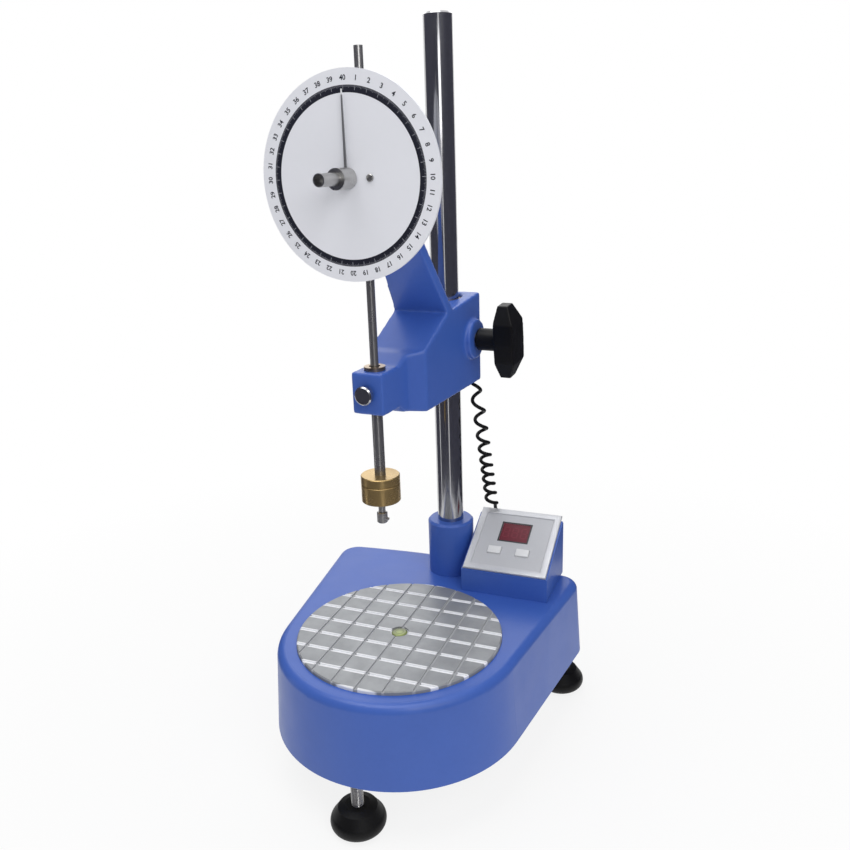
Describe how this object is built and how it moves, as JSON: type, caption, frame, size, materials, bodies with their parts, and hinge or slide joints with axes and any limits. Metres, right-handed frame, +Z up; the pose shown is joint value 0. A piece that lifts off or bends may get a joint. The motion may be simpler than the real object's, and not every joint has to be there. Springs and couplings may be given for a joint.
{
  "type": "bitumen penetrometer",
  "caption": "Bench penetrometer: cast base with grooved table and levelling feet, pillar, sliding head with rack-driven dial, weighted plunger, curly cord and electric timer.",
  "frame": {"origin": "on the bench, at the middle of the object's plan box, midway between the feet's front and back limits", "axes": "+Z up along the pillar, -Y to the front where the dial faces, +X to the right where the timer and the clamp knob are"},
  "size_m": [0.261, 0.2871, 0.623],
  "materials": {
    "blue_paint": "semi-gloss blue enamel over a casting",
    "plain_steel": "turned steel",
    "bright_chrome": "hard chrome plate",
    "table_metal": "ground grey metal with milled grooves",
    "level_fluid": "yellow-green fluid under a clear lens",
    "black_plastic": "black moulding",
    "frame_metal": "satin metal",
    "panel_film": "light grey printed film",
    "red_window": "dark red filter",
    "green_board": "circuit board",
    "white_plastic": "white keys",
    "yellow_brass": "turned brass",
    "coil_tape": "taped coil winding",
    "black_rubber": "black cord jacket",
    "dial_white": "white lacquered disc with printed scale"
  },
  "bodies": {
    "base": {"base_casting": "blue_paint", "base_plate": "plain_steel", "base_plate_screws": "plain_steel", "table": "table_metal", "level_cup": "table_metal", "level_glass": "level_fluid", "pillar": "bright_chrome", "pillar_bolt": "plain_steel", "timer_case": "blue_paint", "timer_bezel": "frame_metal", "timer_panel": "panel_film", "display_window": "red_window", "display_module": "black_plastic", "timer_board": "green_board", "transformer": "plain_steel", "mains_inlet": "black_plastic", "timer_gland": "black_rubber", "timer_screws": "plain_steel", "curly_cord": "black_rubber"},
    "foot_front": {"foot_stud_front": "plain_steel", "foot_pad_front": "black_plastic"},
    "foot_left": {"foot_stud_left": "plain_steel", "foot_pad_left": "black_plastic"},
    "foot_right": {"foot_stud_right": "plain_steel", "foot_pad_right": "black_plastic"},
    "key_left": {"key_left": "white_plastic"},
    "key_right": {"key_right": "white_plastic"},
    "head_bushes": {"pillar_bush_lower": "yellow_brass", "pillar_bush_upper": "yellow_brass"},
    "head": {"head_casting": "blue_paint", "arm_cover": "blue_paint", "plunger_bush_lower": "yellow_brass", "plunger_bush_upper": "yellow_brass", "solenoid": "coil_tape", "clamp_pad": "yellow_brass", "head_gland": "black_rubber", "gear_housing": "blue_paint", "housing_screws": "plain_steel", "dial_carrier": "frame_metal", "dial": "dial_white", "dial_screws": "plain_steel", "arbor_bush": "yellow_brass", "cord_lead": "black_rubber"},
    "clamp": {"clamp_stud": "plain_steel", "clamp_knob": "black_plastic"},
    "arbor": {"arbor": "plain_steel", "pinion": "yellow_brass", "pointer_hub": "plain_steel", "pointer": "plain_steel"},
    "spindle": {"rack_rod": "plain_steel", "plunger": "plain_steel", "weight_50g": "yellow_brass", "weight_100g": "yellow_brass", "needle_chuck": "plain_steel", "chuck_screw": "plain_steel"},
    "release": {"release_button": "bright_chrome", "brake_bar": "plain_steel"}
  },
  "joints": [
    {"name": "foot_front_height", "type": "slide", "parent": "base", "child": "foot_front", "axis": [0, 0, -1], "range_m": [-0.012, 0.012]},
    {"name": "foot_left_height", "type": "slide", "parent": "base", "child": "foot_left", "axis": [0, 0, -1], "range_m": [-0.012, 0.012]},
    {"name": "foot_right_height", "type": "slide", "parent": "base", "child": "foot_right", "axis": [0, 0, -1], "range_m": [-0.012, 0.012]},
    {"name": "key_left_press", "type": "slide", "parent": "base", "child": "key_left", "axis": [0, 0.4571, -0.8894], "range_m": [0, 0.0008], "stiffness_N_per_m": 600},
    {"name": "key_right_press", "type": "slide", "parent": "base", "child": "key_right", "axis": [0, 0.4571, -0.8894], "range_m": [0, 0.0008], "stiffness_N_per_m": 600},
    {"name": "head_height", "type": "slide", "parent": "base", "child": "head_bushes", "axis": [0, 0, 1], "range_m": [-0.056, 0.1], "deforming": ["curly_cord"]},
    {"name": "head_swivel", "type": "hinge", "parent": "head_bushes", "child": "head", "pos_m": [0, 0.1085, 0.35], "axis": [0, 0, 1], "range_deg": [-7.4, 16.6]},
    {"name": "clamp_turn", "type": "hinge", "parent": "head", "child": "clamp", "pos_m": [0.05, 0.10448, 0.352], "axis": [0.9968, -0.0802, 0], "range_deg": [0, 360]},
    {"name": "plunger_slide", "type": "slide", "parent": "head", "child": "spindle", "axis": [0, 0, 1], "range_m": [0, 0.045]},
    {"name": "arbor_spin", "type": "hinge", "parent": "head", "child": "arbor", "pos_m": [-0.01944, -0.02387, 0.4965], "axis": [0.0802, 0.9968, 0], "range_deg": [-406, 1]},
    {"name": "release_press", "type": "slide", "parent": "head", "child": "release", "axis": [0.0802, 0.9968, 0], "range_m": [0, 0.003], "stiffness_N_per_m": 900}
  ],
  "couplings": [
    {"joint": "arbor_spin", "follows": "plunger_slide", "rad_per_m": -157.08}
  ]
}
